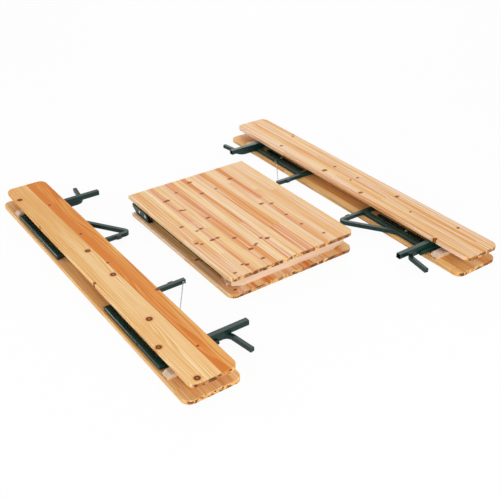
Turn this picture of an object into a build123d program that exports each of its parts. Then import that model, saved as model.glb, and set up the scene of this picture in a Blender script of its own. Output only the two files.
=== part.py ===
from build123d import *
import os
from math import radians, tan

os.makedirs("parts", exist_ok=True)

# A folding table and two folding benches with backrests, laid down folded, side by side.
# X runs from the left bench to the right one, Y along the boards, Z up from the floor.
# The table lies folded in half on its top. Each bench is a seat lying underside up, with its
# two leg frames folded onto it and the backrest laid on top of them, its uprights across.
# The right bench is the left one turned half round, so the steel of both points at the table.
# A backrest is narrower than its seat and lies loose, so the two lie a little off the middle.

# Driving dimensions of the set
set_length = 1770
seat_width = 245
back_width = 200
table_width = 675
left_gap = 241
right_gap = 224
half_turn = 180
quarter_turn = 90

# How far a backrest lies from the middle of its seat, towards the spigots
back_offset = {"left": 4, "right": -22.5}

# Boards
seat_thickness = 20
back_thickness = 20
bench_corner = 36
leaf_thickness = 20
leaf_corner = 36
edge_bevel = 2

# Bench leg frames, for the frame at the +Y end
tube = 20
tube_corner = 2
tube_wall = 1.5
rail_diameter = 21
lay_gap = 0.3
hinge_from_end = 210
leg_length = 440
front_leg_width = 28
front_leg_inset = 24
rear_leg_width = 22
rear_leg_from_axis = 98
rail_overrun = 40
spigot_from_rail = 18
spigot_corner_from_axis = 207
spigot_bend = 36
spigot_reach = 133
spigot_lean = 9
cope_share = 0.3

# Foot bar, brace and tie rod
bar_above_foot = 10
bar_tip_from_axis = 259
bar_bend = 14
bar_stub = 6
brace_joint_from_hinge = 208
brace_overrun = 40
collar_wall = 2
collar_width = 14
collar_from_hinge = 224
tie_diameter = 4
tie_from_tip = 12
foot_cap = 5
glide_width = 24
glide_from_axis = 196
plug_depth = 2

# Flat stays of the legs, pinned to the seat
stay_width = 26
stay_wall = 3
stay_length = 320
stay_from_axis = 48
stay_from_hinge = 60
stay_bolt_from_hinge = 188

# Hinge clips and their screws
clip_wall = 1.2
clip_running_gap = 0.05
clip_width = 24
clip_flange_reach = 28
front_clip_from_axis = 55
rear_clip_from_axis = 60
clip_screw_reach = 20
screw_head = 9
screw_height = 3
screw_sides = 6
screw_bevel = 0.6

# Bench battens
batten_width = 40
batten_height = 18
batten_end_inset = 8
batten_bevel_run = 16
batten_bevel_rise = 12
batten_screw_from_axis = 60

# Backrest uprights
upright = 24
upright_wall = 1.2
upright_corner = 2
upright_from_end = 227
upright_tip_from_axis = 294
upright_root_inset = 12
upright_screw_from_axis = 30

# Table leaves, their spacing and fold
leaf_gap = 65
fold_offset = 13
fold_clearance = 0.5

# Table battens
leaf_batten_width = 35
leaf_batten_from_end = 40
leaf_batten_space = 5
leaf_batten_side_inset = 27
leaf_batten_bevel_run = 62
leaf_batten_bevel_rise = 20

# Table leg frames, folded between the leaves
table_leg_length = 715
table_leg_side_inset = 57
table_bar_above_foot = 40
table_clip_from_axis = 190

# Table hinge brackets
bracket_wall = 3
bracket_side_inset = 14
bracket_flange = 26
bracket_flange_wall = 2.5
bracket_length = 118
bracket_from_fold = 24
bracket_rise = 40
bracket_shoulder = 22
knuckle_radius = 9
bracket_side_gap = 0.3
pin_diameter = 8
pin_gap = 0.05
pin_head = 13
pin_head_height = 3
bracket_bolt_spacing = 56
bracket_bolt_height = 24

# Places that follow from the sizes
total_width = 2 * seat_width + table_width + left_gap + right_gap
bench_x = (total_width - seat_width) / 2
table_x = -total_width / 2 + seat_width + left_gap + table_width / 2
axis_z = seat_thickness + lay_gap + rail_diameter / 2
hinge_y = set_length / 2 - hinge_from_end
foot_y = hinge_y - leg_length
seat_batten_y = hinge_y + clip_flange_reach + lay_gap + batten_width / 2
front_leg_x = -seat_width / 2 + front_leg_inset
front_leg_side = front_leg_x + front_leg_width / 2
bar_y = foot_y + bar_above_foot
clip_inside = rail_diameter / 2 + clip_running_gap
clip_outside = clip_inside + clip_wall
upright_z = axis_z + tube / 2 + lay_gap
upright_y = set_length / 2 - upright_from_end
back_z = upright_z + upright
tube_bore = tube - 2 * tube_wall
spigot_y = hinge_y - spigot_from_rail
spigot_tip_x = spigot_corner_from_axis + spigot_reach * tan(radians(spigot_lean))
rear_leg_side = rear_leg_from_axis + rear_leg_width / 2
table_height = 2 * leaf_thickness + leaf_gap
fold_z = table_height / 2
upper_leaf_length = set_length / 2 + fold_offset
lower_leaf_length = set_length / 2 - fold_offset
outer_end_y = -upper_leaf_length / 2
fold_y = upper_leaf_length / 2 - fold_offset
table_axis_z = leaf_thickness + lay_gap + rail_diameter / 2
upper_batten_y = outer_end_y + leaf_batten_from_end + leaf_batten_width / 2
lower_batten_y = upper_batten_y + leaf_batten_width + leaf_batten_space
table_hinge_y = lower_batten_y + leaf_batten_width / 2 + clip_flange_reach + lay_gap
table_leg_x = table_width / 2 - table_leg_side_inset

bench_home = {
    "left": Location((-bench_x, 0, 0)),
    "right": Location((bench_x, 0, 0), (0, 0, half_turn)),
}
table_home = Location((table_x, 0, 0))
exported = []


# Placing and writing

def write(name, *shapes):
    """Write the solids of one node to its own file."""
    node = shapes[0] if len(shapes) == 1 else Compound(children=list(shapes))
    node.label = name
    export_step(node, f"parts/{name}.step")
    exported.append(name)


def bench_end(shape, end):
    """Pieces are drawn at the +Y end, which is end a; end b is its mirror image."""
    return shape if end == "a" else shape.mirror(Plane.XZ)


def upside_down(shape):
    """Mirror a piece of the lower leaf about the level of the fold."""
    return shape.mirror(Plane.XY.offset(fold_z))


# Boards and battens

def plank(width, length, thickness, corner, base):
    """A board with rounded corners and bevelled edges."""
    with BuildPart() as board:
        with BuildSketch(Plane.XY.offset(base)):
            RectangleRounded(width, length, corner)
        extrude(amount=thickness)
        chamfer(board.faces().filter_by(Axis.Z).edges(), edge_bevel)
    return board.part


def leaf(length, base):
    """Half of the table top: round outer corners, square corners at the fold."""
    with BuildPart() as board:
        with BuildSketch(Plane.XY.offset(base)) as outline:
            with Locations((0, outer_end_y + length / 2)):
                Rectangle(table_width, length)
            fillet(outline.vertices().group_by(Axis.Y)[0], leaf_corner)
        extrude(amount=leaf_thickness)
        chamfer(board.faces().filter_by(Axis.Z).edges(), edge_bevel)
    return board.part


def batten(length, width, height, run, rise, place_y, base):
    """A cross batten whose ends are bevelled away from the board that it is screwed to."""
    half = length / 2
    section = Plane(origin=(0, place_y, base), x_dir=(1, 0, 0), z_dir=(0, -1, 0))
    with BuildPart() as bar:
        with BuildSketch(section):
            with BuildLine():
                Polyline(
                    (-half, 0),
                    (half, 0),
                    (half, height - rise),
                    (half - run, height),
                    (run - half, height),
                    (-half, height - rise),
                    close=True,
                )
            make_face()
        extrude(amount=width / 2, both=True)
    return bar.part


# Tubes of a folding leg frame

def hinged_leg(place_x, width, hinge, length, level):
    """A tube that ends round about the hinge axis, hanging off it towards the middle."""
    with BuildPart() as leg:
        with BuildSketch(Plane.YZ.offset(place_x)):
            with Locations((hinge - length / 2, level)):
                Rectangle(length, tube)
            with Locations((hinge, level)):
                Circle(tube / 2)
        extrude(amount=width / 2, both=True)
        chamfer(leg.faces().filter_by(Axis.X).edges(), tube_corner)
        bore = length - tube / 2
        with Locations((place_x, hinge - length + bore / 2, level)):
            Box(width - 2 * tube_wall, bore, tube_bore, mode=Mode.SUBTRACT)
    return leg.part


def bar_across(start_x, end_x, place_y, level):
    """A straight square tube along X."""
    with BuildPart() as bar:
        with BuildSketch(Plane.YZ.offset(start_x)):
            with Locations((place_y, level)):
                RectangleRounded(tube, tube, tube_corner)
                Rectangle(tube_bore, tube_bore, mode=Mode.SUBTRACT)
        extrude(amount=end_x - start_x)
    return bar.part


def rail_with_spigot():
    """The round hinge rail, with the bent square spigot that carries an upright welded beside it."""
    with BuildPart() as rail:
        with BuildSketch(Plane.YZ.offset(front_leg_side)):
            with Locations((hinge_y, axis_z)):
                Circle(rail_diameter / 2)
        extrude(amount=rear_leg_side + rail_overrun - front_leg_side)
        with BuildLine(Plane.XY.offset(axis_z)) as route:
            FilletPolyline(
                (rear_leg_side, spigot_y),
                (spigot_corner_from_axis, spigot_y),
                (spigot_tip_x, spigot_y + spigot_reach),
                radius=spigot_bend,
            )
        with BuildSketch(Plane(origin=route.line @ 0, x_dir=(0, 0, 1), z_dir=route.line % 0)):
            square = Rectangle(tube, tube)
            chamfer(square.vertices(), tube_corner)
        sweep()
    return rail.part


def rear_leg():
    """A flat tube from the foot bar to the rail, coped to the rail's round."""
    start_y = bar_y + tube / 2
    end_y = hinge_y - cope_share * rail_diameter / 2
    with BuildPart() as leg:
        with Locations((rear_leg_from_axis, (start_y + end_y) / 2, axis_z)):
            Box(rear_leg_width, end_y - start_y, tube)
        fillet(leg.edges().filter_by(Axis.Y), tube_corner)
        with Locations((rear_leg_from_axis, hinge_y, axis_z)):
            Cylinder(rail_diameter / 2, 2 * tube, rotation=(0, quarter_turn, 0), mode=Mode.SUBTRACT)
        with Locations((rear_leg_from_axis, (start_y + end_y) / 2, axis_z)):
            Box(rear_leg_width - 2 * tube_wall, end_y - start_y, tube_bore, mode=Mode.SUBTRACT)
    return leg.part


# Foot bars, brace and tie rod

brace_run = Vector(rear_leg_side - bar_tip_from_axis, hinge_y - brace_joint_from_hinge - bar_y, 0)
brace_way = brace_run.normalized()
brace_turn = radians(Vector(1, 0, 0).get_angle(brace_way))
bar_corner = Vector(bar_tip_from_axis, bar_y, axis_z)
brace_start = bar_corner + brace_way * (bar_bend * tan(brace_turn / 2) + bar_stub)


def bent_foot_bar():
    """The foot bar of end a, bent back at its outer end to meet the brace."""
    with BuildPart() as bar:
        with BuildLine(Plane.XY.offset(axis_z)) as route:
            FilletPolyline(
                (front_leg_side, bar_y),
                (bar_corner.X, bar_corner.Y),
                (brace_start.X, brace_start.Y),
                radius=bar_bend,
            )
        with BuildSketch(Plane(origin=route.line @ 0, x_dir=(0, 0, 1), z_dir=route.line % 0)):
            square = Rectangle(tube, tube)
            chamfer(square.vertices(), tube_corner)
        sweep()
    return bar.part


def brace():
    """The straight tube from the bent foot bar up to the rear leg's outer side."""
    with BuildPart() as strut:
        with BuildSketch(Plane(origin=brace_start, x_dir=(0, 0, 1), z_dir=brace_way)):
            RectangleRounded(tube, tube, tube_corner)
            Rectangle(tube_bore, tube_bore, mode=Mode.SUBTRACT)
        extrude(amount=brace_run.length + brace_overrun)
        split(bisect_by=Plane.YZ.offset(rear_leg_side), keep=Keep.TOP)
    return strut.part


def collar():
    """A steel band bent over the rear leg of end b, where the tie rod hooks on."""
    place_y = hinge_y - collar_from_hinge
    with BuildPart() as band:
        with Locations((rear_leg_from_axis, place_y, axis_z + collar_wall / 2)):
            Box(rear_leg_width + 2 * collar_wall, collar_width, tube + collar_wall)
        with Locations((rear_leg_from_axis, place_y, axis_z)):
            Box(rear_leg_width, collar_width, tube, mode=Mode.SUBTRACT)
        chamfer(band.edges().filter_by(Axis.Y).group_by(Axis.Z)[-1], collar_wall / 2)
    return band.part


def tie_rod():
    """The thin rod from the collar to the outer end of the foot bar."""
    top = Vector(rear_leg_side + collar_wall, hinge_y - collar_from_hinge, axis_z)
    bottom = Vector(bar_tip_from_axis - tie_from_tip, bar_y + tube / 2, axis_z)
    way = (top - bottom).normalized()
    with BuildPart() as rod:
        with BuildSketch(Plane(origin=bottom - way * tie_diameter, z_dir=way)):
            Circle(tie_diameter / 2)
        extrude(amount=(top - bottom).length + 2 * tie_diameter)
        split(bisect_by=Plane.XZ.offset(-bottom.Y), keep=Keep.BOTTOM)
        split(bisect_by=Plane.YZ.offset(top.X), keep=Keep.TOP)
    return rod.part


def feet():
    """The cap on the front leg and the glide under the foot bar, which stand level in use."""
    with BuildPart() as cap:
        with Locations((front_leg_x, foot_y - foot_cap / 2, axis_z)):
            Box(front_leg_width, foot_cap, tube)
        chamfer(cap.faces().sort_by(Axis.Y)[0].edges(), tube_corner / 2)
    glide_height = bar_above_foot - tube / 2 + foot_cap
    with BuildPart() as glide:
        with Locations((glide_from_axis, bar_y - (tube + glide_height) / 2, axis_z)):
            Box(glide_width, glide_height, tube)
        chamfer(glide.faces().sort_by(Axis.Y)[0].edges(), tube_corner / 2)
    return cap.part, glide.part


def bar_plug():
    """The plug that closes the straight foot bar of end b."""
    with BuildPart() as plug:
        with Locations((bar_tip_from_axis + plug_depth / 2, bar_y, axis_z)):
            Box(plug_depth, tube, tube)
        chamfer(plug.faces().sort_by(Axis.X)[-1].edges(), plug_depth / 2)
    return plug.part


def stay():
    """The flat bar of the folding stay that stays pinned to the seat."""
    with BuildPart() as bar:
        with BuildSketch(Plane.XY.offset(seat_thickness + lay_gap)):
            with Locations((stay_from_axis, hinge_y - stay_from_hinge - stay_length / 2)):
                SlotOverall(stay_length, stay_width, rotation=quarter_turn)
        extrude(amount=stay_wall)
    return bar.part


# Hinge clips and screws

def hinge_clip(place_x, place_y, board_top, level):
    """A strap bent over the rail, with a flange on each side screwed to the board."""
    with BuildPart() as clip:
        with BuildSketch(Plane.YZ.offset(place_x)):
            with Locations((place_y, board_top + clip_wall / 2)):
                Rectangle(2 * clip_flange_reach, clip_wall)
            with Locations((place_y, (board_top + level) / 2)):
                Rectangle(2 * clip_outside, level - board_top)
            with Locations((place_y, level)):
                Circle(clip_outside)
            with Locations((place_y, level - clip_outside / 2)):
                Rectangle(2 * clip_inside, clip_outside, mode=Mode.SUBTRACT)
            with Locations((place_y, level)):
                Circle(clip_inside, mode=Mode.SUBTRACT)
        extrude(amount=clip_width / 2, both=True)
    return clip.part


def screw(place_x, place_y, base):
    """A low hexagon bolt head standing on a surface at the height given."""
    with BuildPart() as head:
        with BuildSketch(Plane.XY.offset(base)):
            with Locations((place_x, place_y)):
                RegularPolygon(screw_head / 2, screw_sides)
        extrude(amount=screw_height)
        chamfer(head.faces().sort_by(Axis.Z)[-1].edges(), screw_bevel)
    return head.part


# The parts of one bench

def bench_clips():
    """The four hinge clips of a bench."""
    places = (-front_clip_from_axis, rear_clip_from_axis)
    drawn = [hinge_clip(x, hinge_y, seat_thickness, axis_z) for x in places]
    return [bench_end(clip, end) for end in "ab" for clip in drawn]


def seat_screws():
    """The screws of the hinge clips, the battens and the stays of a bench."""
    drawn = []
    for x in (-front_clip_from_axis, rear_clip_from_axis):
        for reach in (-clip_screw_reach, clip_screw_reach):
            drawn.append(screw(x, hinge_y + reach, seat_thickness + clip_wall))
    for x in (-batten_screw_from_axis, batten_screw_from_axis):
        drawn.append(screw(x, seat_batten_y, seat_thickness + batten_height))
    stay_top = seat_thickness + lay_gap + stay_wall
    drawn.append(screw(stay_from_axis, hinge_y - stay_bolt_from_hinge, stay_top))
    return [bench_end(head, end) for end in "ab" for head in drawn]


def back_screws():
    """The screws that hold the uprights to the backrest board, heads down."""
    turned = Plane.XY.offset(upright_z)
    places = (-upright_screw_from_axis, upright_screw_from_axis)
    drawn = [screw(x, upright_y, upright_z).mirror(turned) for x in places]
    return [bench_end(head, end) for end in "ab" for head in drawn]


def seat_batten():
    """The batten across the seat's underside, just outboard of the leg hinge."""
    length = seat_width - 2 * batten_end_inset
    run, rise = batten_bevel_run, batten_bevel_rise
    return batten(length, batten_width, batten_height, run, rise, seat_batten_y, seat_thickness)


def upright_tube():
    """An upright of the backrest: an open square tube, the socket for a spigot."""
    start_x = upright_root_inset - back_width / 2
    with BuildPart() as post:
        with BuildSketch(Plane.YZ.offset(start_x)):
            with Locations((upright_y, upright_z + upright / 2)):
                RectangleRounded(upright, upright, upright_corner)
                Rectangle(upright - 2 * upright_wall, upright - 2 * upright_wall, mode=Mode.SUBTRACT)
        extrude(amount=upright_tip_from_axis - start_x)
    return post.part


def write_bench(side):
    """Write every node of one bench, apart from the clips and screws fixed to its seat."""
    home = bench_home[side]
    back_home = home * Location((back_offset[side], 0, 0))
    seat = plank(seat_width, set_length, seat_thickness, bench_corner, 0)
    back = plank(back_width, set_length, back_thickness, bench_corner, back_z)
    write(f"{side}_seat", seat.moved(home))
    write(f"{side}_backrest_board", back.moved(back_home))
    write(f"{side}_backrest_screws", *[head.moved(back_home) for head in back_screws()])
    cap, glide = feet()
    leg = hinged_leg(front_leg_x, front_leg_width, hinge_y, leg_length, axis_z)
    straight_bar = bar_across(front_leg_side, bar_tip_from_axis, bar_y, axis_z)
    shared = {
        "seat_batten": (seat_batten(),),
        "front_leg": (leg,),
        "rail": (rail_with_spigot(),),
        "rear_leg": (rear_leg(),),
    }
    only = {
        "a": {"foot_bar": (bent_foot_bar(),), "brace": (brace(),), "feet": (cap, glide)},
        "b": {
            "foot_bar": (straight_bar,),
            "tie_rod": (tie_rod(),),
            "collar": (collar(),),
            "feet": (cap, glide, bar_plug()),
        },
    }
    for end in "ab":
        write(f"{side}_{end}_upright", bench_end(upright_tube(), end).moved(back_home))
        for name, shapes in {**shared, **only[end]}.items():
            write(f"{side}_{end}_{name}", *[bench_end(shape, end).moved(home) for shape in shapes])


# The parts of the table

def leaf_batten(place_y):
    """The tall batten across a leaf, which also keeps the folded leaves apart."""
    length = table_width - 2 * leaf_batten_side_inset
    height = leaf_gap - lay_gap
    run, rise = leaf_batten_bevel_run, leaf_batten_bevel_rise
    return batten(length, leaf_batten_width, height, run, rise, place_y, leaf_thickness)


def table_legs():
    """The two legs of a table leg frame, folded towards the fold."""
    turned = Plane.XZ.offset(-table_hinge_y)
    drawn = [
        hinged_leg(x, tube, table_hinge_y, table_leg_length, table_axis_z).mirror(turned)
        for x in (-table_leg_x, table_leg_x)
    ]
    return drawn


def table_crossbars():
    """The round rail and the square foot bar between a pair of table legs."""
    reach = table_leg_x - tube / 2
    with BuildPart() as rail:
        with BuildSketch(Plane.YZ):
            with Locations((table_hinge_y, table_axis_z)):
                Circle(rail_diameter / 2)
        extrude(amount=reach, both=True)
    bar_place = table_hinge_y + table_leg_length - table_bar_above_foot
    bar = bar_across(-reach, reach, bar_place, table_axis_z)
    return [rail.part, bar]


def table_leg_caps():
    """The caps that close the feet of a pair of table legs."""
    drawn = []
    for x in (-table_leg_x, table_leg_x):
        with BuildPart() as cap:
            with Locations((x, table_hinge_y + table_leg_length + foot_cap / 2, table_axis_z)):
                Box(tube, foot_cap, tube)
            chamfer(cap.faces().sort_by(Axis.Y)[-1].edges(), tube_corner / 2)
        drawn.append(cap.part)
    return drawn


def table_clips():
    """The two clips that hold a table rail to its leaf."""
    places = (-table_clip_from_axis, table_clip_from_axis)
    return [hinge_clip(x, table_hinge_y, leaf_thickness, table_axis_z) for x in places]


def table_clip_screws():
    """The screws of the table clips."""
    reaches = (-clip_screw_reach, clip_screw_reach)
    across = (-table_clip_from_axis, table_clip_from_axis)
    places = [(x, table_hinge_y + reach) for x in across for reach in reaches]
    return [screw(x, y, leaf_thickness + clip_wall) for x, y in places]


def bracket(outer_face):
    """A folded bracket of the left side: a flange on the leaf and a web that carries the pin."""
    far_y = fold_y - fold_offset - bracket_from_fold
    near_y = far_y - bracket_length
    top_z = leaf_thickness + bracket_rise
    with BuildPart() as plate:
        with BuildSketch(Plane.YZ.offset(outer_face)):
            with BuildLine():
                Polyline(
                    (near_y, leaf_thickness),
                    (far_y, leaf_thickness),
                    (fold_y, fold_z - knuckle_radius),
                    (fold_y, top_z),
                    (near_y + bracket_shoulder, top_z),
                    (near_y, leaf_thickness + bracket_flange_wall),
                    close=True,
                )
            make_face()
            with Locations((fold_y, fold_z)):
                Circle(knuckle_radius)
                Circle(pin_diameter / 2 + pin_gap, mode=Mode.SUBTRACT)
        extrude(amount=bracket_wall)
        with BuildSketch(Plane.XY.offset(leaf_thickness)):
            with Locations((outer_face + bracket_flange / 2, (near_y + far_y) / 2)):
                Rectangle(bracket_flange, bracket_length)
        extrude(amount=bracket_flange_wall)
    return plate.part


def fold_pin(outer_face):
    """The pin of one fold bracket pair, fixed in the lower bracket."""
    shank = 2 * bracket_wall + bracket_side_gap
    with BuildPart() as pin:
        with BuildSketch(Plane(origin=(outer_face, fold_y, fold_z), z_dir=(1, 0, 0))):
            Circle(pin_diameter / 2)
        extrude(amount=shank)
        with BuildSketch(Plane(origin=(outer_face, fold_y, fold_z), z_dir=(-1, 0, 0))):
            Circle(pin_head / 2)
        extrude(amount=pin_head_height)
        with BuildSketch(Plane(origin=(outer_face + shank, fold_y, fold_z), z_dir=(1, 0, 0))):
            Circle(pin_head / 2)
        extrude(amount=pin_head_height)
    return pin.part


def bracket_bolts(outer_face):
    """Two bright bolt heads on the outer face of a lower bracket."""
    middle_y = fold_y - fold_offset - bracket_from_fold - bracket_length / 2
    heads = []
    for share in (-1, 1):
        place_y = middle_y + share * bracket_bolt_spacing / 2
        place = (outer_face, place_y, leaf_thickness + bracket_bolt_height)
        with BuildPart() as head:
            with BuildSketch(Plane(origin=place, z_dir=(-1, 0, 0))):
                RegularPolygon(screw_head / 2, screw_sides)
            extrude(amount=screw_height)
            chamfer(head.faces().sort_by(Axis.X)[0].edges(), screw_bevel)
        heads.append(head.part)
    return heads


def both_sides(shapes):
    """The pieces of the left side and their mirror images on the right."""
    return [*shapes, *[shape.mirror(Plane.YZ) for shape in shapes]]


def write_table():
    """Write every node of the table, apart from the screws fixed to its lower leaf."""
    outer_face = bracket_side_inset - table_width / 2
    inner_face = outer_face + bracket_wall + bracket_side_gap
    lower = {
        "lower_leaf": [leaf(lower_leaf_length - fold_clearance, 0)],
        "lower_leaf_batten": [leaf_batten(lower_batten_y)],
        "lower_fold_brackets": both_sides([bracket(outer_face)]),
        "lower_table_legs": table_legs(),
        "lower_leg_crossbars": table_crossbars(),
        "lower_leg_caps": table_leg_caps(),
        "lower_leg_clips": table_clips(),
        "fold_pins": both_sides([fold_pin(outer_face)]),
    }
    upper = {
        "upper_leaf": [leaf(upper_leaf_length - fold_clearance, leaf_thickness + leaf_gap)],
        "upper_leaf_batten": [upside_down(leaf_batten(upper_batten_y))],
        "upper_fold_brackets": [upside_down(shape) for shape in both_sides([bracket(inner_face)])],
        "upper_table_legs": [upside_down(shape) for shape in table_legs()],
        "upper_leg_crossbars": [upside_down(shape) for shape in table_crossbars()],
        "upper_leg_caps": [upside_down(shape) for shape in table_leg_caps()],
        "upper_leg_clips": [upside_down(shape) for shape in table_clips()],
        "upper_leg_clip_screws": [upside_down(shape) for shape in table_clip_screws()],
    }
    for name, shapes in {**lower, **upper}.items():
        write(name, *[shape.moved(table_home) for shape in shapes])


def write_floor_fasteners():
    """Write the clips, stays and screws fixed to the boards that lie on the floor."""
    clips = [clip.moved(bench_home[side]) for side in bench_home for clip in bench_clips()]
    heads = [head.moved(bench_home[side]) for side in bench_home for head in seat_screws()]
    outer_face = bracket_side_inset - table_width / 2
    table_heads = [*table_clip_screws(), *both_sides(bracket_bolts(outer_face))]
    bars = [bench_end(stay(), end).moved(home) for home in bench_home.values() for end in "ab"]
    write("bench_hinge_clips", *clips)
    write("seat_stays", *bars)
    write("board_screws", *heads, *[head.moved(table_home) for head in table_heads])


for side in bench_home:
    write_bench(side)
write_table()
write_floor_fasteners()
print(len(exported), "nodes, backrest top at", round(back_z + back_thickness, 1), "mm")
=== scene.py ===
# %% [markdown]
# # A folding table and two folding benches
# The set lies folded on the floor: the table is folded in half, and each bench is a seat board lying
# face down, with its green steel legs folded onto it and its backrest laid on top.
# The rigid pieces come ready from the CAD model. This lesson gives them their finishes, adds the welds,
# washers, wire eyes and rivets that only show from close by, and sets up the camera and the light.

# %% Load the model
from math import hypot, pi, radians

import bpy
from mathutils import Matrix, Vector


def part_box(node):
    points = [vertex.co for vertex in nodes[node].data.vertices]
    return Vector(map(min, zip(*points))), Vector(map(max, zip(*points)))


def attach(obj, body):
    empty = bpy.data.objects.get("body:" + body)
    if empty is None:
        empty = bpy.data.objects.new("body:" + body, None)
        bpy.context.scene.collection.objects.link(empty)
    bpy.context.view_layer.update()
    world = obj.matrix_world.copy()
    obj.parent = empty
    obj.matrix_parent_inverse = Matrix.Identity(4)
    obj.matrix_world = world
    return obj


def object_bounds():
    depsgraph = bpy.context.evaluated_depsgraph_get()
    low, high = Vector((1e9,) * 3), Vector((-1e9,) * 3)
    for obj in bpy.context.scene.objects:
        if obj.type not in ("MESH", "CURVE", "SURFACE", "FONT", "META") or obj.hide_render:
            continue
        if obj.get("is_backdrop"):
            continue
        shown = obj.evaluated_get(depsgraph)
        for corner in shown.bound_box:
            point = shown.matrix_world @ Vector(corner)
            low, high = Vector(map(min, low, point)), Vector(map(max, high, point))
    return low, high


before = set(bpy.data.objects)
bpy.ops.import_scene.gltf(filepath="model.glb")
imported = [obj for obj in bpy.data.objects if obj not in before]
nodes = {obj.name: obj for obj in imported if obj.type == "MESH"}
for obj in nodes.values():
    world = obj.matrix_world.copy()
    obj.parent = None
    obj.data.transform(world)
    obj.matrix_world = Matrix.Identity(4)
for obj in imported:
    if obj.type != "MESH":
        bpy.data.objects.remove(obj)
cad_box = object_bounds()


def rounded(values, digits=3):
    """A corner, a colour or a size, short enough to print."""
    return [round(value, digits) for value in values]


print("model from", rounded(cad_box[0]), "to", rounded(cad_box[1]))

# %% [markdown]
# ## A small language for shaders
# A material is a graph of nodes. Written one node at a time, even a sum takes four lines. A small class
# that wraps an output socket lets us write sums, products and comparisons as Python expressions instead.

# %% Sockets that can be added and multiplied
class Signal:
    """An output of a node in a graph. Arithmetic on it adds Math nodes."""

    def __init__(self, graph, socket):
        self.graph = graph
        self.socket = socket

    def maths(self, operation, *others):
        return self.graph.add("ShaderNodeMath", dict(enumerate((self, *others))), operation=operation)

    def __add__(self, other):
        return self.maths("ADD", other)

    def __mul__(self, other):
        return self.maths("MULTIPLY", other)

    def __sub__(self, other):
        return self.maths("SUBTRACT", other)

    def __truediv__(self, other):
        return self.maths("DIVIDE", other)

    def __gt__(self, other):
        return self.maths("GREATER_THAN", other)

    def floor(self):
        return self.maths("FLOOR")

    def size(self):
        return self.maths("ABSOLUTE")

    def most(self, other):
        return self.maths("MAXIMUM", other)

    def fade(self, start, end, low=0.0, high=1.0, kind="SMOOTHSTEP"):
        """The value carried from start..end to low..high, and held beyond."""
        places = {0: self, 1: start, 2: end, 3: low, 4: high}
        return self.graph.add("ShaderNodeMapRange", places, interpolation_type=kind)


def srgb(red, green, blue):
    """A colour as seen on a screen, 0 to 255, as the linear values that a shader takes."""
    shares = (value / 255 for value in (red, green, blue))
    return tuple(s / 12.92 if s < 0.04045 else ((s + 0.055) / 1.055) ** 2.4 for s in shares)


print("a mid grey is", rounded(srgb(128, 128, 128)), "to a shader")

# %% [markdown]
# A second class is the graph itself: one method adds any node, sets it up and links its inputs. A
# material has such a graph, and so has the sky.

# %% A graph of nodes
class Graph:
    """A tree of nodes and one way to add a node to it."""

    def __init__(self, tree):
        self.tree = tree

    def add(self, kind, inputs=(), output=0, stops=(), **settings):
        """Add a node: its settings first, then its ramp's stops, then the values or links of its inputs."""
        node = self.tree.nodes.new(kind)
        for name, value in settings.items():
            setattr(node, name, value)
        if stops:
            self.set_stops(node.color_ramp, stops)
        for place, value in dict(inputs).items():
            self.feed(node.inputs[place], value)
        return Signal(self, node.outputs[output])

    def set_stops(self, ramp, stops):
        """Give a colour ramp its stops, pairs of a place from 0 to 1 and a colour."""
        while len(ramp.elements) > 1:
            ramp.elements.remove(ramp.elements[-1])
        ramp.elements[0].position, ramp.elements[0].color = stops[0][0], (*stops[0][1], 1)
        for share, colour in stops[1:]:
            ramp.elements.new(share).color = (*colour, 1)

    def feed(self, socket, value):
        """Link a signal to a socket, or set the socket to a plain value."""
        if isinstance(value, Signal):
            self.tree.links.new(value.socket, socket)
        elif isinstance(value, tuple) and socket.type == "RGBA":
            socket.default_value = (*value, 1)
        else:
            socket.default_value = value


print("a graph takes numbers, colours and signals")

# %% [markdown]
# A finish is the graph of one material. It reads the object's own coordinates. Every piece's place is in
# its mesh, so they are the same metres as the model's, and a pattern stays where it is when the part is
# turned or exported.

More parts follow.
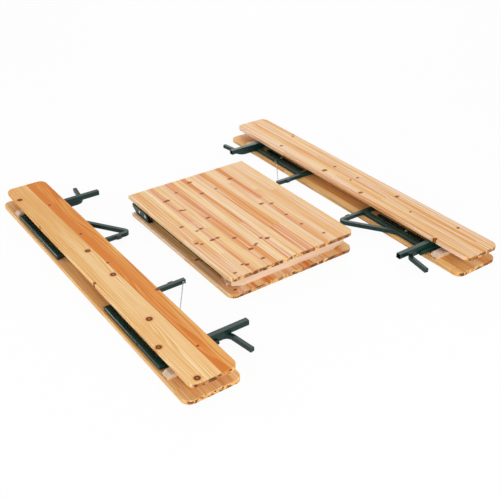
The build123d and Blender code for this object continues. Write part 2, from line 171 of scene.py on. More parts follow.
# %% A finish and its patterns
class Finish(Graph):
    """A material with its Principled shader, its object coordinates and the patterns made from them."""

    def __init__(self, name):
        self.material = bpy.data.materials.new(name)
        self.material.use_nodes = True
        super().__init__(self.material.node_tree)
        self.shader = self.tree.nodes["Principled BSDF"]
        self.place = self.add("ShaderNodeTexCoord", output="Object")
        self.facing = self.add("ShaderNodeTexCoord", output="Normal")
        self.x, self.y, self.z = (self.part_of(self.place, axis) for axis in "XYZ")

    def part_of(self, vector, axis):
        """One coordinate of a vector."""
        return self.add("ShaderNodeSeparateXYZ", {0: vector}, output=axis)

    def vector(self, x, y, z):
        return self.add("ShaderNodeCombineXYZ", {0: x, 1: y, 2: z})

    def finer(self, factor):
        """The coordinates made finer, so that a pattern on them repeats more often in a metre."""
        return self.add("ShaderNodeVectorMath", {0: self.place, "Scale": factor}, operation="SCALE")

    def noise(self, vector, detail=2.0, roughness=0.5):
        places = {"Vector": vector, "Scale": 1.0, "Detail": detail, "Roughness": roughness}
        return self.add("ShaderNodeTexNoise", places)

    def chance(self, vector):
        """A number from 0 to 1 that is the same all over one whole-number place."""
        return self.add("ShaderNodeTexWhiteNoise", {"Vector": vector})

    def ramp(self, value, stops):
        return self.add("ShaderNodeValToRGB", {0: value}, stops=stops)

    def mix(self, share, first, second, way="MIX"):
        places = {0: share, 6: first, 7: second}
        return self.add("ShaderNodeMix", places, output=2, data_type="RGBA", blend_type=way)

    def stain(self, share, tone, colour):
        """A colour darkened by another one, by a share from 0 to 1."""
        return self.mix(share, tone, self.mix(1.0, tone, colour, "MULTIPLY"))

    def side(self, axis):
        """How much the surface faces along an axis of the object, either way."""
        return self.part_of(self.facing, axis).size()

    def finish(self, colour, roughness, height=None, depth=0.0, **numbers):
        """Feed the shader and, where a height is given, bump the surface by it."""
        self.feed(self.shader.inputs["Base Color"], colour)
        self.feed(self.shader.inputs["Roughness"], roughness)
        for name, value in numbers.items():
            self.shader.inputs[name.replace("_", " ")].default_value = value
        if height is not None:
            bump = self.add("ShaderNodeBump", {"Strength": 1.0, "Distance": depth, "Height": height})
            self.feed(self.shader.inputs["Normal"], bump)
        print(self.material.name, "has", len(self.tree.nodes), "nodes")
        return self.material


print("a finish reads its object's coordinates, in metres")

# %% [markdown]
# ## Wood
# The boards are glued up from strips of softwood. Where the saw cut a tree's rings flat, they show as long
# pointed flames, and where it cut them upright, as fine straight lines. Each line darkens slowly and ends
# sharply, because the late wood of a year is the dense one. The lines bend round the knots, which are
# dark rings with a lighter heart.
# We could paint this as an image. A formula on the object's own coordinates is sharper at any distance,
# and runs through the board as real wood does: the contour lines of a stretched noise are the flames.
# The first list is the wood's own colour, from the palest strip to the deepest. The second multiplies it,
# from the clear wood round a knot, which stays as it is, to the knot's heart.

# %% The palette of the softwood
PALE_TO_DEEP = [
    (0.0, srgb(250, 218, 162)),
    (0.25, srgb(243, 201, 136)),
    (0.5, srgb(235, 182, 108)),
    (0.75, srgb(230, 158, 70)),
    (1.0, srgb(222, 134, 40)),
]
KNOT_STOPS = [
    (0.0, (1.0, 1.0, 1.0)),
    (0.3, srgb(250, 238, 220)),
    (0.44, srgb(232, 172, 104)),
    (0.51, srgb(146, 86, 30)),
    (0.60, srgb(62, 34, 8)),
    (0.74, srgb(80, 48, 14)),
    (0.84, srgb(196, 140, 72)),
    (1.0, srgb(164, 108, 48)),
]
KNOT_REACH = 2.2
LATE_WOOD = srgb(222, 170, 104)
print(len(PALE_TO_DEEP), "depths of wood and", len(KNOT_STOPS), "rings in a knot")

# %% [markdown]
# A strip is given by its right edge and its depth of colour, and a knot by its place and its radius. All
# are in metres from the board's middle, but the depth, which goes from 0 to 1. The first function finds how
# near a point is to the nearest knot. The second counts the glue lines to a point's left, which numbers its
# strip, and the third looks up the depth of colour that the list gives to that strip.

# %% Knots and strips
def nearest_knot(wood, across, knots, squeeze):
    """1 in a knot's middle, fading to 0 at KNOT_REACH times its radius. A squeeze below 1 widens it."""
    spot = wood.vector(across * squeeze, wood.y, 0.0)
    field = None
    for place_x, place_y, radius in knots:
        centre = (place_x * squeeze, place_y, 0.0)
        away = wood.add("ShaderNodeVectorMath", {0: spot, 1: centre}, output=1, operation="DISTANCE")
        near = away.fade(0.0, radius * KNOT_REACH, 1.0, 0.0, "LINEAR")
        field = near if field is None else field.most(near)
    return field


def strip_number(across, glue_lines):
    """How many glue lines lie to the left of a point."""
    count = across > glue_lines[0]
    for line in glue_lines[1:]:
        count = count + (across > line)
    return count


def planned_depth(wood, number, strips):
    """The depth of colour that the list gives to each strip."""
    starts = [0.0] + [(i - 0.5) / len(strips) for i in range(1, len(strips))]
    steps = [(start, (depth,) * 3) for start, (edge, depth) in zip(starts, strips)]
    planned = wood.ramp(number / len(strips), steps)
    planned.socket.node.color_ramp.interpolation = "CONSTANT"
    return planned


print("a knot shows out to", KNOT_REACH, "times its radius")

# %% [markdown]
# Growth lines are the contours of a field. The field is a broad noise stretched along the board, plus a
# slope across it, so a steep slope gives straight lines and a gentle one gives flames. A knot is a hill
# in the field, and the contours run round it. FLAMES says how often the noise repeats in a metre across
# the board, along it and through it.

# %% Growth lines
FLAMES = (9.0, 0.9, 8.0)
LEAST_SLOPE = 270.0
MORE_SLOPE = 80.0
KNOT_HILL = 1.6
LINES_APART = 9.0


def stretched(wood, across, shift, repeats, detail=2.0, roughness=0.5):
    """A noise that repeats so often in a metre across a board, along it and through it."""
    by_x, by_y, by_z = repeats
    places = wood.vector(across * by_x, wood.y * by_y, wood.z * by_z + shift)
    return wood.noise(places, detail, roughness)


def growth_lines(wood, across, shift, pick, knot, flames):
    """0 in the early wood, rising to 1 at the end of each year's late wood."""
    broad = stretched(wood, across, shift, FLAMES, 1.5)
    slope = pick * MORE_SLOPE + LEAST_SLOPE / flames
    field = broad * flames + across * slope + knot * KNOT_HILL + pick * LINES_APART
    phase = field - field.floor()
    return phase.fade(0.05, 0.8) * phase.fade(0.86, 1.0, 1.0, 0.0)


print("late wood is", rounded(LATE_WOOD, 2), "times the early wood")

# %% [markdown]
# The ends drink more lacquer, so each strip's end has its own brown, with dark patches and short curved
# lines.

# %% End grain
LIGHT_END = srgb(246, 196, 116)
BROWN_END = srgb(158, 88, 36)
BROWN_SHARE = 0.8
RING_COLOUR = srgb(200, 130, 66)
RING_COUNT = 9.0
PATCH_COLOUR = srgb(96, 46, 14)
PATCH_SHARE = 0.92


def end_grain(wood, tone, across, shift, pick):
    """The colour of a board's ends."""
    patches = wood.noise(wood.vector(across * 42.0, shift, wood.z * 48.0), 3.0, 0.6)
    rings = wood.noise(wood.vector(across * 20.0, shift + 5.0, wood.z * 40.0), 1.0) * RING_COUNT
    arc = (rings - rings.floor()).fade(0.3, 0.9)
    brown = wood.mix(pick.fade(0.5, 0.9), LIGHT_END, BROWN_END)
    ends = wood.mix(BROWN_SHARE, tone, brown)
    ends = wood.stain(arc * 0.5, ends, RING_COLOUR)
    return wood.mix(patches.fade(0.5, 0.57) * PATCH_SHARE, ends, PATCH_COLOUR)


print("dark patches cover up to", PATCH_SHARE, "of the brown")

# %% [markdown]
# Each strip is finger jointed from shorter pieces, so its colour changes at random places along it. A
# board is dressed by adding up: the planned depth of the strip, the piece's own, broad clouds, pale streaks
# of sapwood, growth lines, short fibres and knots.
# A slant turns the strips, by so many metres across in each metre. A piece is the length between two finger
# joints, and variety is how much the pieces differ. The veil is the share of pale sapwood. More flames bend
# the growth lines more, and lines says how dark they are. A squeeze below 1 makes the knots wide ovals, and
# deepening darkens the board towards its far end. The four patterns repeat as FLAMES do.

# %% A board of glued strips
CLOUDS = (16.0, 2.2, 8.0)
STREAKS = (130.0, 1.7, 60.0)
FIBRES = (600.0, 9.0, 300.0)
SAPWOOD = (85.0, 1.1, 40.0)
SAPWOOD_COLOUR = srgb(249, 224, 198)
GRAIN_DEPTH = 0.00015


def board_wood(name, middle, strips, knots, slant=0.0, piece=0.6, variety=0.25, seed=0.0, veil=0.0,
               flames=12.0, lines=0.45, squeeze=1.0, deepening=0.0):
    wood = Finish(name)
    across = wood.x - middle + wood.y * slant
    number = strip_number(across, [edge for edge, depth in strips[:-1]])
    start = wood.chance(wood.vector(number, seed, 3.0))
    block = (wood.y / piece + start * 5.0).floor()
    pick = wood.chance(wood.vector(number, block, seed))
    shift = pick * 37.0 + seed
    knot = nearest_knot(wood, across, knots, squeeze)
    line = growth_lines(wood, across, shift, pick, knot, flames)
    cloud = stretched(wood, across, shift, CLOUDS)
    streak = stretched(wood, across, shift, STREAKS)
    fibre = stretched(wood, across, shift, FIBRES, 3.0, 0.6)
    depth = planned_depth(wood, number, strips) + (pick - 0.5) * variety
    depth = depth + (cloud - 0.5) * 0.7 + (streak - 0.5) * 0.8 + line * 0.12
    depth = depth + wood.y.fade(-0.3, 0.8) * deepening
    sapwood = stretched(wood, across, shift + 9.0, SAPWOOD)
    tone = wood.mix(sapwood.fade(0.4, 0.66) * veil * 1.7, wood.ramp(depth, PALE_TO_DEEP), SAPWOOD_COLOUR)
    tone = wood.stain(line * lines, tone, LATE_WOOD)
    tone = wood.stain(fibre.fade(0.45, 0.75) * 0.3, tone, LATE_WOOD)
    tone = wood.mix(1.0, tone, wood.ramp(knot, KNOT_STOPS), "MULTIPLY")
    ends = end_grain(wood, tone, across, shift, pick)
    tone = wood.mix(wood.side("Y").fade(0.6, 0.85), tone, ends)
    height = fibre + line * 0.6 + knot * 0.8
    return wood.finish(tone, line * 0.1 + fibre * 0.12 + 0.4, height, GRAIN_DEPTH, Specular_IOR_Level=0.22)


print("fibres run", round(FIBRES[0] / FIBRES[1]), "times as long as they are wide")

# %% [markdown]
# The table's top is made of about twenty narrow strips, from cream to deep orange, with small dark knots
# in most of them.

# %% The table's wood
def middle_of(node):
    """Where the middle of a node's box is along X."""
    low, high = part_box(node)
    return (low.x + high.x) / 2


table_strips = [
    (-0.325, 0.32), (-0.270, 0.54), (-0.238, 0.06), (-0.200, 0.74), (-0.158, 0.10), (-0.093, 0.76),
    (-0.070, 0.03), (-0.048, 0.20), (-0.018, 0.92), (0.006, 0.00), (0.014, 0.50), (0.040, 0.12),
    (0.106, 0.88), (0.132, 0.06), (0.160, 0.30), (0.197, 0.86), (0.225, 0.10), (0.252, 0.26),
    (0.300, 0.40), (0.340, 0.22),
]
table_knots = [
    (-0.021, 0.392, 0.006), (-0.033, 0.257, 0.005), (0.052, 0.260, 0.004), (0.167, 0.308, 0.006),
    (-0.208, 0.290, 0.006), (-0.222, 0.288, 0.005), (-0.205, 0.170, 0.005), (-0.191, 0.163, 0.004),
    (-0.283, 0.035, 0.005), (-0.243, -0.035, 0.004), (-0.218, -0.028, 0.005), (-0.303, -0.125, 0.005),
    (-0.286, -0.143, 0.004), (-0.228, -0.140, 0.006), (-0.201, -0.138, 0.005), (-0.138, 0.038, 0.005),
    (-0.139, -0.182, 0.005), (-0.133, -0.300, 0.006), (-0.100, -0.286, 0.004), (-0.088, -0.278, 0.004),
    (-0.133, -0.390, 0.005), (-0.233, -0.380, 0.004), (-0.218, -0.392, 0.005), (-0.295, -0.415, 0.004),
    (-0.021, -0.268, 0.006), (-0.043, -0.250, 0.004), (0.145, 0.004, 0.006), (0.185, -0.022, 0.005),
    (0.179, -0.148, 0.004), (0.182, -0.257, 0.004), (0.215, -0.378, 0.004), (-0.133, 0.335, 0.004),
]
table_wood = board_wood(
    "table_wood", middle_of("upper_leaf"), table_strips, table_knots, seed=4.0, piece=0.9, variety=0.3,
    veil=0.46, flames=5.0, lines=0.3, squeeze=0.6,
)
print(len(table_strips), "strips and", len(table_knots), "knots in the table's top")

# %% [markdown]
# Each bench board has only a few wide planks. The left backrest is the liveliest: a pale plank and a deep
# orange one, with six ringed knots on the pale side, and both planks deepen towards the far end. The right
# one is pinker and finely striped.

# %% The backrests' wood
left_back_strips = [(-0.058, 0.18), (0.014, 0.08), (0.054, 0.90), (0.110, 0.70)]
left_back_knots = [
    (-0.071, 0.747, 0.0104), (-0.010, 0.127, 0.0104), (-0.006, -0.105, 0.0112), (-0.037, -0.462, 0.0112),
    (-0.094, -0.632, 0.0104), (-0.071, -0.857, 0.0108), (0.026, 0.615, 0.005), (0.029, 0.278, 0.005),
    (0.017, -0.010, 0.0045), (0.089, -0.307, 0.007), (-0.098, -0.118, 0.006), (-0.098, 0.450, 0.005),
    (0.026, -0.708, 0.004),
]
right_back_strips = [
    (-0.080, 0.62), (-0.036, 0.20), (-0.008, 0.34), (0.022, 0.62), (0.046, 0.40), (0.062, 0.22),
    (0.110, 0.42),
]
right_back_knots = [
    (-0.056, 0.510, 0.006), (-0.056, 0.135, 0.009), (0.016, 0.137, 0.005), (0.072, 0.572, 0.004),
    (0.091, 0.590, 0.004), (-0.018, -0.028, 0.004), (0.027, -0.030, 0.005), (-0.070, -0.160, 0.007),
    (0.049, -0.295, 0.007), (-0.007, -0.443, 0.004), (0.063, -0.678, 0.005), (-0.099, -0.685, 0.008),
]
left_back_wood = board_wood(
    "left_backrest_wood", middle_of("left_backrest_board"), left_back_strips, left_back_knots, slant=0.0118,
    piece=3.0, variety=0.06, flames=15.0, lines=0.42, seed=2.0, deepening=0.22,
)
right_back_wood = board_wood(
    "right_backrest_wood", middle_of("right_backrest_board"), right_back_strips, right_back_knots, piece=1.1,
    seed=7.0, veil=0.66, flames=5.0, lines=0.4, squeeze=0.75,
)

# %% [markdown]
# The seats lie face down, so what shows is the underside, which is plainer. Both share one plan of strips,
# and a different seed gives each its own grain. The left one is paler, partly from its own plainer wood and
# partly as painted light: its veil of pale sapwood lightens it as the light from the left would.

# %% The seats' wood
seat_strips = [(-0.090, 0.30), (-0.030, 0.42), (0.035, 0.20), (0.085, 0.50), (0.130, 0.36)]
seat_knots = [
    (-0.080, 0.300, 0.006), (0.070, -0.420, 0.005), (-0.020, -0.700, 0.005), (0.095, 0.560, 0.005),
]
# Painted light, in part: this veil of pale sapwood lightens the whole left seat, standing in for light from
# the left.
left_seat_wood = board_wood(
    "left_seat_wood", middle_of("left_seat"), seat_strips, seat_knots, piece=1.2, variety=0.1, seed=11.0,
    veil=0.15, flames=8.0, lines=0.3,
)
right_seat_wood = board_wood(
    "right_seat_wood", middle_of("right_seat"), seat_strips, seat_knots, piece=1.2, seed=15.0,
)

# %% [markdown]
# The battens are plain planed strips, paler and pinker than the boards, whose grain runs across the set.

# %% The battens' wood
def batten_wood():
    """Planed softwood with its grain along X and darker patches on its ends."""
    wood = Finish("batten_wood")
    fibre = wood.noise(wood.vector(wood.x * 4.0, wood.y * 150.0, wood.z * 150.0), 3.0, 0.6)
    broad = wood.noise(wood.vector(wood.x * 3.0, wood.y * 30.0, wood.z * 30.0), 2.0)
    tone = wood.mix(broad.fade(0.35, 0.65), srgb(238, 217, 194), srgb(226, 200, 170))
    tone = wood.stain(fibre.fade(0.45, 0.75) * 0.5, tone, LATE_WOOD)
    patches = wood.noise(wood.vector(1.0, wood.y * 80.0, wood.z * 80.0), 3.0)
    ends = wood.side("X").fade(0.5, 0.85) * patches.fade(0.35, 0.6, 0.35, 0.95)
    return wood.finish(wood.mix(ends, tone, srgb(150, 98, 60)), 0.5, fibre, 0.0002)


batten_finish = batten_wood()

# %% [markdown]
# ## Painted steel
# The frames are powder coated in a dark bluish green. Powder coat isn't a mirror: it has a fine orange
# peel, so its shine breaks up a little, and a little dust makes it lighter in places.

# %% The green powder coat
def powder_coat():
    paint = Finish("green_powder_coat")
    flow = paint.noise(paint.finer(14.0), 3.0)
    dust = paint.noise(paint.finer(90.0), 4.0, 0.7)
    peel = paint.noise(paint.finer(900.0), 1.0)
    tone = paint.mix(flow.fade(0.3, 0.7), srgb(9, 40, 35), srgb(16, 54, 47))
    tone = paint.mix(dust.fade(0.6, 0.85) * 0.25, tone, srgb(50, 90, 82))
    roughness = flow * 0.1 + dust * 0.06 + 0.2
    return paint.finish(tone, roughness, peel, 0.000006, Specular_IOR_Level=0.26)


green_coat = powder_coat()

# %% [markdown]
# ## Zinc, wire and plastic
# The bolts and pins are bright zinc with a faint cloudiness. The tie rod is duller wire. The caps on the
# feet are black plastic with a fine grain.

# %% Small finishes
def zinc(name, bright, dull, roughness):
    """Zinc in cloudy spots of two greys, given as they look on a screen."""
    metal = Finish(name)
    spots = metal.noise(metal.finer(160.0), 3.0)
    tone = metal.mix(spots.fade(0.35, 0.65), srgb(*bright), srgb(*dull))
    return metal.finish(tone, spots * 0.2 + roughness, spots, 0.00003, Metallic=1.0)


def cap_plastic():
    plastic = Finish("cap_plastic")
    grain = plastic.noise(plastic.finer(1400.0), 2.0)
    tone = plastic.mix(grain.fade(0.3, 0.7), srgb(20, 24, 24), srgb(34, 39, 38))
    return plastic.finish(tone, grain * 0.15 + 0.4, grain, 0.00005)


bright_zinc = zinc("bright_zinc", (230, 232, 230), (196, 199, 198), 0.16)
dull_wire = zinc("dull_wire", (176, 180, 178), (146, 151, 150), 0.3)
black_caps = cap_plastic()

# %% [markdown]
# Each node is matched to its finish by its name. What no word matches is painted steel.

# %% Give every node its finish
BOARDS = {
    "upper_leaf": table_wood,
    "lower_leaf": table_wood,
    "left_backrest_board": left_back_wood,
    "right_backrest_board": right_back_wood,
    "left_seat": left_seat_wood,
    "right_seat": right_seat_wood,
}
FINISH_WORDS = [
    ("leaf_batten", batten_finish), ("seat_batten", batten_finish), ("tie_rod", dull_wire),
    ("screws", bright_zinc), ("pins", bright_zinc), ("feet", black_caps), ("caps", black_caps),
]


def finish_of(name):
    """The finish of a node: a board's own, or that of the first word that its name holds."""
    if name in BOARDS:
        return BOARDS[name]
    found = [finish for word, finish in FINISH_WORDS if word in name]
    return found[0] if found else green_coat


for name, node in nodes.items():
    node.data.materials.clear()
    node.data.materials.append(finish_of(name))
print(len(nodes), "nodes have a finish")

# %% [markdown]
# ## Small pieces
# Welds, washers, wire eyes and rivets repeat all over the set. Each kind is modelled once at the origin,
# then copied to its places, and the copies that move together are joined into one piece. Two helpers serve
# the modelling: one picks faces in edit mode, and one keeps a finished shape's mesh.

# %% Pick faces and keep a shape
def shape_of(piece):
    """Take the mesh of a finished shape and clear the object away."""
    mesh = piece.data
    bpy.data.objects.remove(piece)
    return mesh


def pick_faces(test):
    """Leave only the faces selected that pass a test, and stay in edit mode."""
    bpy.ops.mesh.select_mode(type="FACE")
    bpy.ops.mesh.select_all(action="DESELECT")
    bpy.ops.object.mode_set(mode="OBJECT")
    for face in bpy.context.object.data.polygons:
        face.select = test(face)
    bpy.ops.object.mode_set(mode="EDIT")


print("the scene has", len(bpy.data.meshes), "meshes before the small pieces")

# %% [markdown]
# A place is a matrix: it scales a shape, turns it and moves it. The change goes into the copy's mesh, so
# the object itself stays at the origin, as the model's own nodes do.

# %% Copy a shape to its places
def turned(place, turn=(0.0, 0.0, 0.0), scale=(1.0, 1.0, 1.0)):
    """The matrix that scales a shape, turns it by three angles and moves it to a place."""
    moved = Matrix.Translation(place)
    for angle, axis in zip(turn, "XYZ"):
        moved = moved @ Matrix.Rotation(angle, 4, axis)
    return moved @ Matrix.Diagonal((*scale, 1.0))


def scatter(name, mesh, places, body, finish):
    """Copy a mesh to each place, a matrix, and join the copies into one piece that rides on a body."""
    bpy.ops.object.select_all(action="DESELECT")
    for place in places:
        copy = bpy.data.objects.new(name, mesh.copy())
        copy.data.transform(place)
        bpy.context.scene.collection.objects.link(copy)
        copy.select_set(True)
        bpy.context.view_layer.objects.active = copy
    if len(places) > 1:
        bpy.ops.object.join()
    piece = bpy.context.object
    piece.name = piece.data.name = name
    piece.data.materials.clear()
    piece.data.materials.append(finish)
    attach(piece, body)


print("a quarter turn is", round(pi / 2, 3), "radians")

# %% [markdown]
# The tubes of a leg frame are welded where they meet. A weld bead is a low rippled band of paint and
# metal round the joint. It starts as a thin slab that the tube passes through. Its rim is bevelled round,
# it is cut finer, and a Displace modifier ripples it.

# %% The weld bead
BEAD_SIZE = (0.0042, 0.0236, 0.0202)
BEAD_ROUNDING = 0.0014
RIPPLE_SPACING = 0.003
RIPPLE_HEIGHT = 0.0004


def weld_bead():
    bpy.ops.object.select_all(action="DESELECT")
    bpy.ops.mesh.primitive_cube_add(size=1.0, scale=BEAD_SIZE)
    bead = bpy.context.object
    bpy.ops.object.transform_apply(location=False, rotation=False, scale=True)
    bpy.ops.object.mode_set(mode="EDIT")
    bpy.ops.mesh.select_all(action="SELECT")
    bpy.ops.mesh.bevel(offset=BEAD_ROUNDING, segments=3)
    bpy.ops.mesh.subdivide(number_cuts=2)
    bpy.ops.object.mode_set(mode="OBJECT")
    clouds = bpy.data.textures.new("weld_ripple", "CLOUDS")
    clouds.noise_scale = RIPPLE_SPACING
    ripple = bead.modifiers.new("ripple", "DISPLACE")
    ripple.texture = clouds
    ripple.strength = RIPPLE_HEIGHT
    bpy.ops.object.modifier_apply(modifier=ripple.name)
    bpy.ops.object.shade_smooth()
    return shape_of(bead)


bead_mesh = weld_bead()
print("a weld bead has", len(bead_mesh.polygons), "faces")

# %% [markdown]
# The places of the welds follow from the boxes of the tubes. Every bench has a frame at each end, and the
# right bench is the left one turned half round, so one function serves all four frames. Along the rear
# leg come the foot bar, the rail and the spigot.

# %% Where the welds are
SIDES = ("left", "right")
ENDS = "ab"
HALF_TUBE = 0.010
COPED_END = 0.006
WIDE_WELD = (1.0, 1.06, 1.0)
SPIGOT_WELD = (1.0, 0.98, 1.0)


def by_nearness(low, high):
    """The bounds of a span, the one nearer to zero first."""
    return sorted((low, high), key=abs)


def way(value):
    """1 for a value above zero and -1 for one below."""
    return 1 if value > 0 else -1


def frame_welds(side, end):
    """The welds that every frame has: two on its foot bar, one on its rail and one on its spigot."""
    name = f"{side}_{end}"
    front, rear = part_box(f"{name}_front_leg"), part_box(f"{name}_rear_leg")
    bar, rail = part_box(f"{side}_b_foot_bar"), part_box(f"{name}_rail")
    inner = 1 if side == "left" else 0
    away = way(rear[1].y)
    bar_y = away * abs(bar[0].y + bar[1].y) / 2
    level = (rear[0].z + rear[1].z) / 2
    rear_x = (rear[0].x + rear[1].x) / 2
    rear_low, rear_high = by_nearness(rear[0].y, rear[1].y)
    spigot_y = by_nearness(rail[0].y, rail[1].y)[0] + away * HALF_TUBE
    across = (0.0, 0.0, pi / 2)
    return [
        turned((front[inner].x, bar_y, level)),
        turned((rear_x, rear_low, level), across, WIDE_WELD),
        turned((rear_x, rear_high - away * COPED_END, level), across, WIDE_WELD),
        turned((rear[inner].x, spigot_y, level), scale=SPIGOT_WELD),
    ]


print("the welds sit on tubes that are", 2 * HALF_TUBE, "m wide")

# %% [markdown]
# The brace runs into the rear leg at a slant. The tube's end is then longer than the tube is wide, by the
# brace's length over its reach across the set, and its weld is as long.

# %% The long weld of a brace
def brace_weld(side):
    """The weld between a brace and the rear leg, drawn out along the leg."""
    brace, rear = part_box(f"{side}_a_brace"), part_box(f"{side}_a_rear_leg")
    reach_x, reach_y = brace[1].x - brace[0].x, brace[1].y - brace[0].y
    wide = hypot(reach_x, reach_y) / reach_x
    away = way(rear[1].y)
    far_y = by_nearness(brace[0].y, brace[1].y)[1]
    level = (rear[0].z + rear[1].z) / 2
    place = (rear[1 if side == "left" else 0].x, far_y - away * HALF_TUBE * wide, level)
    return turned(place, scale=(1.0, wide, 1.0))


for side in SIDES:
    print("the", side, "brace's weld is at", rounded(brace_weld(side).to_translation()))

# %% [markdown]
# Each frame's beads are copied to these places and joined into one piece, which rides on the frame's body
# and so folds out with it. They have the frame's own paint, as the real ones do.

# %% Weld the leg frames
for side in SIDES:
    for end in ENDS:
        places = frame_welds(side, end)
        if end == "a":
            places.append(brace_weld(side))
        body = f"{side}_{end}_leg_frame"
        scatter(f"{side}_{end}_welds", bead_mesh, places, body, green_coat)
        print(len(places), "welds on the", side, end, "frame")

# %% [markdown]
# A washer lies under every bolt head. The heads are loose triangles in one node, so the function gathers
# their corners into clusters. A head's top is bevelled, so its seat is the side whose corners reach
# further from the middle.

# %% Find the bolt heads
def clusters_of(node, reach=0.013):
    """The corners of a node in groups, one for each head."""
    groups = []
    for vertex in nodes[node].data.vertices:
        home = next((group for group in groups if (group[0] - vertex.co).length < reach), None)
        if home is None:
            groups.append([vertex.co.copy()])
        else:
            home.append(vertex.co.copy())
    return groups


def bolt_heads(node):
    """The seat, the axis and the outward direction of every head in a node."""
    heads = []
    for group in clusters_of(node):
        low = Vector([min(corner[i] for corner in group) for i in range(3)])
        high = Vector([max(corner[i] for corner in group) for i in range(3)])
        seat, spans = (low + high) / 2, high - low
        axis = list(spans).index(min(spans))
        above = max((c - seat).length for c in group if c[axis] > seat[axis])
        below = max((c - seat).length for c in group if c[axis] < seat[axis])
        outward = 1 if above < below else -1
        seat[axis] -= outward * spans[axis] / 2
        heads.append((seat, axis, outward))
    return heads


print(len(bolt_heads("board_screws")), "heads on the boards that lie on the floor")

# %% [markdown]
# The washer itself starts as a disc. Its rim is bevelled, and its top is inset and sunk a little, which
# leaves the raised edge of a stamped washer.

# %% The washer
WASHER_RADIUS = 0.0072
WASHER_THICKNESS = 0.0009
WASHER_BEVEL = 0.0002
WASHER_RIM = 0.0012
WASHER_SUNK = 0.0003


def washer():
    bpy.ops.object.select_all(action="DESELECT")
    middle = (0, 0, WASHER_THICKNESS / 2)
    bpy.ops.mesh.primitive_cylinder_add(
        vertices=28, radius=WASHER_RADIUS, depth=WASHER_THICKNESS, location=middle,
    )
    disc = bpy.context.object
    bpy.ops.object.transform_apply(location=True)
    bpy.ops.object.mode_set(mode="EDIT")
    bpy.ops.mesh.select_all(action="SELECT")
    bpy.ops.mesh.bevel(offset=WASHER_BEVEL, segments=1)
    pick_faces(lambda face: face.normal.z > 0.9 and face.area > 1e-5)
    bpy.ops.mesh.inset(thickness=WASHER_RIM)
    bpy.ops.transform.translate(value=(0, 0, -WASHER_SUNK))
    bpy.ops.object.mode_set(mode="OBJECT")
    return shape_of(disc)


washer_mesh = washer()
print("a washer has", len(washer_mesh.polygons), "faces")

# %% [markdown]
# A washer's top looks up. FACING says how it is turned for each axis of a bolt and each way along it.

# %% Put the washers under the bolts
FACING = {
    (0, 1): (0.0, pi / 2, 0.0),
    (0, -1): (0.0, -pi / 2, 0.0),
    (2, 1): (0.0, 0.0, 0.0),
    (2, -1): (pi, 0.0, 0.0),
}
BOLTED = {
    "board_screws": "seats_and_lower_leaf",
    "upper_leg_clip_screws": "upper_leaf_half",
    "left_backrest_screws": "left_backrest",
    "right_backrest_screws": "right_backrest",
}
for node, body in BOLTED.items():
    places = [turned(seat, FACING[(axis, outward)]) for seat, axis, outward in bolt_heads(node)]
    scatter(node.replace("screws", "washers"), washer_mesh, places, body, bright_zinc)
    print(len(places), "washers under the", node)

# %% [markdown]
# The tie rod ends in an eye at each end: one is riveted to the collar, the other to the foot bar. An eye
# is a torus, drawn out a little, that stands upright so that the rod runs into its rim.

# %% The wire eye
EYE_RADIUS = 0.0048
WIRE_RADIUS = 0.0015
EYE_STRETCH = 1.25


def wire_eye():
    bpy.ops.object.select_all(action="DESELECT")
    bpy.ops.mesh.primitive_torus_add(
        major_radius=EYE_RADIUS, minor_radius=WIRE_RADIUS, major_segments=28, minor_segments=10,
    )
    eye = bpy.context.object
    bpy.ops.object.mode_set(mode="EDIT")
    bpy.ops.mesh.select_all(action="SELECT")
    bpy.ops.transform.resize(value=(EYE_STRETCH, 1.0, 1.0))
    bpy.ops.object.mode_set(mode="OBJECT")
    bpy.ops.object.shade_smooth()
    return shape_of(eye)


eye_mesh = wire_eye()
print("a wire eye has", len(eye_mesh.polygons), "faces")

# %% [markdown]
# The rod runs from one corner of its box to the other. Each eye lies a little inside its corner, by the
# two distances below, across the set and along it.

# %% Put the eyes on the tie rods
INSIDE_AT_COLLAR = (0.005, 0.002)
INSIDE_AT_BAR = (0.003, 0.0035)

for side in SIDES:
    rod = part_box(f"{side}_b_tie_rod")
    bar_x, collar_x = by_nearness(rod[0].x, rod[1].x)
    bar_y, collar_y = by_nearness(rod[0].y, rod[1].y)
    level = (rod[0].z + rod[1].z) / 2
    out_x, out_y = way(collar_x), way(collar_y)
    collar_eye = (collar_x - out_x * INSIDE_AT_COLLAR[0], collar_y - out_y * INSIDE_AT_COLLAR[1], level)
    bar_eye = (bar_x + out_x * INSIDE_AT_BAR[0], bar_y + out_y * INSIDE_AT_BAR[1], level)
    places = [turned(collar_eye, (pi / 2, 0.0, 0.0)), turned(bar_eye, (pi / 2, 0.0, pi / 2))]
    body = f"{side}_b_leg_frame"
    scatter(f"{side}_b_wire_eyes", eye_mesh, places, body, dull_wire)
    print("the", side, "rod has eyes at x", round(collar_x, 3), "and", round(bar_x, 3))

# %% [markdown]
# A rivet through each front leg holds the end of its folding stay. From outside only its low round head
# shows: a ball with the half inside the tube cut away and closed, and then flattened.

# %% The rivet
RIVET_RADIUS = 0.0048
RIVET_FLATNESS = 0.42


def rivet():
    bpy.ops.object.select_all(action="DESELECT")
    bpy.ops.mesh.primitive_uv_sphere_add(segments=24, ring_count=12, radius=RIVET_RADIUS)
    head = bpy.context.object
    bpy.ops.object.mode_set(mode="EDIT")
    bpy.ops.mesh.select_all(action="SELECT")
    bpy.ops.mesh.bisect(plane_co=(0, 0, 0), plane_no=(1, 0, 0), clear_inner=True, use_fill=True)
    bpy.ops.mesh.select_all(action="SELECT")
    bpy.ops.transform.resize(value=(RIVET_FLATNESS, 1.0, 1.0))
    bpy.ops.mesh.normals_make_consistent(inside=False)
    bpy.ops.object.mode_set(mode="OBJECT")
    return shape_of(head)


rivet_mesh = rivet()
print("a rivet stands", round(RIVET_RADIUS * RIVET_FLATNESS * 1000, 1), "mm off its leg")

# %% [markdown]
# There is one rivet on the outer side of each front leg. On the left bench it is turned half round, so
# that its dome looks outwards there too.

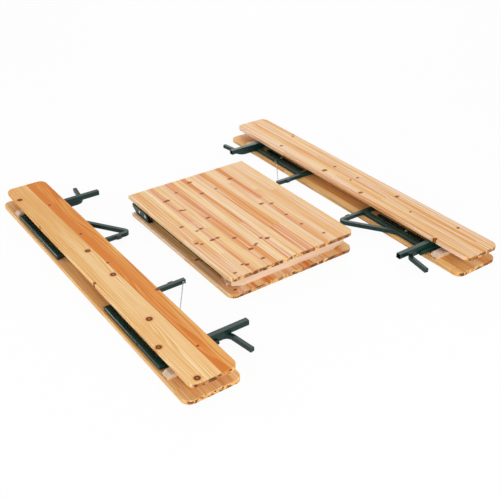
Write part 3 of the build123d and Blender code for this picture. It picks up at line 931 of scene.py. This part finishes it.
# %% Put the rivets on the front legs
RIVET_FROM_MIDDLE = 0.510
RIVET_RAISED = 0.003

for side in SIDES:
    for end in ENDS:
        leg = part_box(f"{side}_{end}_front_leg")
        outer_x = leg[0].x if side == "left" else leg[1].x
        level = (leg[0].z + leg[1].z) / 2 + RIVET_RAISED
        place = (outer_x, way(leg[1].y) * RIVET_FROM_MIDDLE, level)
        turn = (0.0, 0.0, pi if side == "left" else 0.0)
        body = f"{side}_{end}_leg_frame"
        scatter(f"{side}_{end}_rivet", rivet_mesh, [turned(place, turn)], body, black_caps)
print("rivets sit", RIVET_FROM_MIDDLE, "m from the middle of the bench")

# %% [markdown]
# ## Floor and light
# The photograph has a pure white ground. The floor gives it to the camera and to reflections alone: it
# glows white to them, and to everything else it is a plain pale floor. Even they see a small share of the
# plain floor, which carries the faint soft shadow.

# %% The floor
FLOOR_SIZE = 60
GLOW_SHARE = 0.94
WHITE = (1.0, 1.0, 1.0)


def shown(graph):
    """1 for the rays that carry what the camera sees, directly, mirrored or through glass, or else 0."""
    seen = graph.add("ShaderNodeLightPath", output="Is Camera Ray")
    for ray in ("Is Glossy Ray", "Is Transmission Ray"):
        seen = seen.most(graph.add("ShaderNodeLightPath", output=ray))
    return seen


bpy.ops.object.select_all(action="DESELECT")
bpy.ops.mesh.primitive_plane_add(size=FLOOR_SIZE, location=(0, 0, 0))
floor = bpy.context.object
floor.name = "floor"
floor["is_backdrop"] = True
ground = Finish("pale_floor")
ground.finish((0.9, 0.9, 0.9), 0.9)
surface = Signal(ground, ground.shader.outputs[0])
glow = ground.add("ShaderNodeEmission", {"Color": WHITE, "Strength": 1.0})
mixed = ground.add("ShaderNodeMixShader", {0: shown(ground) * GLOW_SHARE, 1: surface, 2: glow})
ground.tree.links.new(mixed.socket, ground.tree.nodes["Material Output"].inputs["Surface"])
floor.data.materials.append(ground.material)
print("the floor is", round(floor.dimensions.x), "m wide")

# %% [markdown]
# The sky is as white as the floor to the camera and to reflections, and a good deal dimmer as a light.

# %% The sky
SKY_AS_LIGHT = 0.42
SKY_AS_SEEN = 1.0

world = bpy.data.worlds.new("studio")
bpy.context.scene.world = world
world.use_nodes = True
sky = Graph(world.node_tree)
background = sky.tree.nodes["Background"]
sky.feed(background.inputs["Color"], WHITE)
strength = shown(sky).fade(0.0, 1.0, SKY_AS_LIGHT, SKY_AS_SEEN, "LINEAR")
sky.feed(background.inputs["Strength"], strength)
print("the sky lights the set at", SKY_AS_LIGHT)

# %% [markdown]
# A lamp hangs almost overhead, and a wide one in front lights the ends of the boards. The largest stands
# far back on the right, where the tops of the tubes and boards mirror it, so it gives them their sheen. A
# low lamp on the left reaches under the left backrest, and one at the back left draws a highlight along
# the edges of the tubes.

# %% The lamps
def lamp(name, place, aim, size, power):
    """A square soft light that looks at a point."""
    data = bpy.data.lights.new(name, "AREA")
    data.size = size
    data.energy = power
    light = bpy.data.objects.new(name, data)
    light.location = place
    light.rotation_euler = (Vector(aim) - Vector(place)).to_track_quat("-Z", "Y").to_euler()
    bpy.context.scene.collection.objects.link(light)
    print(name, "lamp of", power, "W")


SET_MIDDLE = (0.0, 0.0, 0.0)
lamp("overhead", (0.8, 0.4, 4.0), SET_MIDDLE, 2.0, 34)
lamp("front", (-0.6, -3.6, 1.2), SET_MIDDLE, 2.4, 70)
lamp("sheen", (3.3, 4.1, 3.3), SET_MIDDLE, 4.0, 94)
lamp("left", (-2.7, -0.4, 0.7), (-0.7, 0.0, 0.0), 1.0, 10)
lamp("edge", (-2.8, 2.7, 1.1), (-0.8, 0.0, 0.0), 0.6, 26)

# %% [markdown]
# ## Camera
# The camera stands in front of the set, to the left, and looks down at about a third of a right angle.
# Its place and lens were worked out from the corners of the boards, which lie on long straight lines. The
# lens is known in pixels of a photograph that is 500 of them wide.

# %% The camera
CAMERA_PLACE = (-1.7951, -2.6526, 1.9171)
CAMERA_TURN = radians(35.31)
CAMERA_DROP = radians(32.21)
LENS_IN_PIXELS = 781.2
PHOTO_WIDTH = 500
SENSOR_WIDTH = 36

camera_data = bpy.data.cameras.new("camera")
camera_data.sensor_width = SENSOR_WIDTH
camera_data.lens = LENS_IN_PIXELS / PHOTO_WIDTH * SENSOR_WIDTH
camera = bpy.data.objects.new("camera", camera_data)
camera.location = CAMERA_PLACE
camera.rotation_euler = (pi / 2 - CAMERA_DROP, 0, -CAMERA_TURN)
bpy.context.scene.collection.objects.link(camera)
bpy.context.scene.camera = camera
bpy.context.scene.view_settings.view_transform = "Standard"
print("a lens of", round(camera_data.lens, 1), "mm")

# %% [markdown]
# Last, the boxes of the model and of the dressed set are gathered, and the size of the dressed set is
# printed.

# %% Gather the sizes and print the set's size
sizes = {
    "cad": [list(corner) for corner in cad_box],
    "visual": [list(corner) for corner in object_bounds()],
}
print("the dressed set measures", rounded(high - low for low, high in zip(*sizes["visual"])), "m")
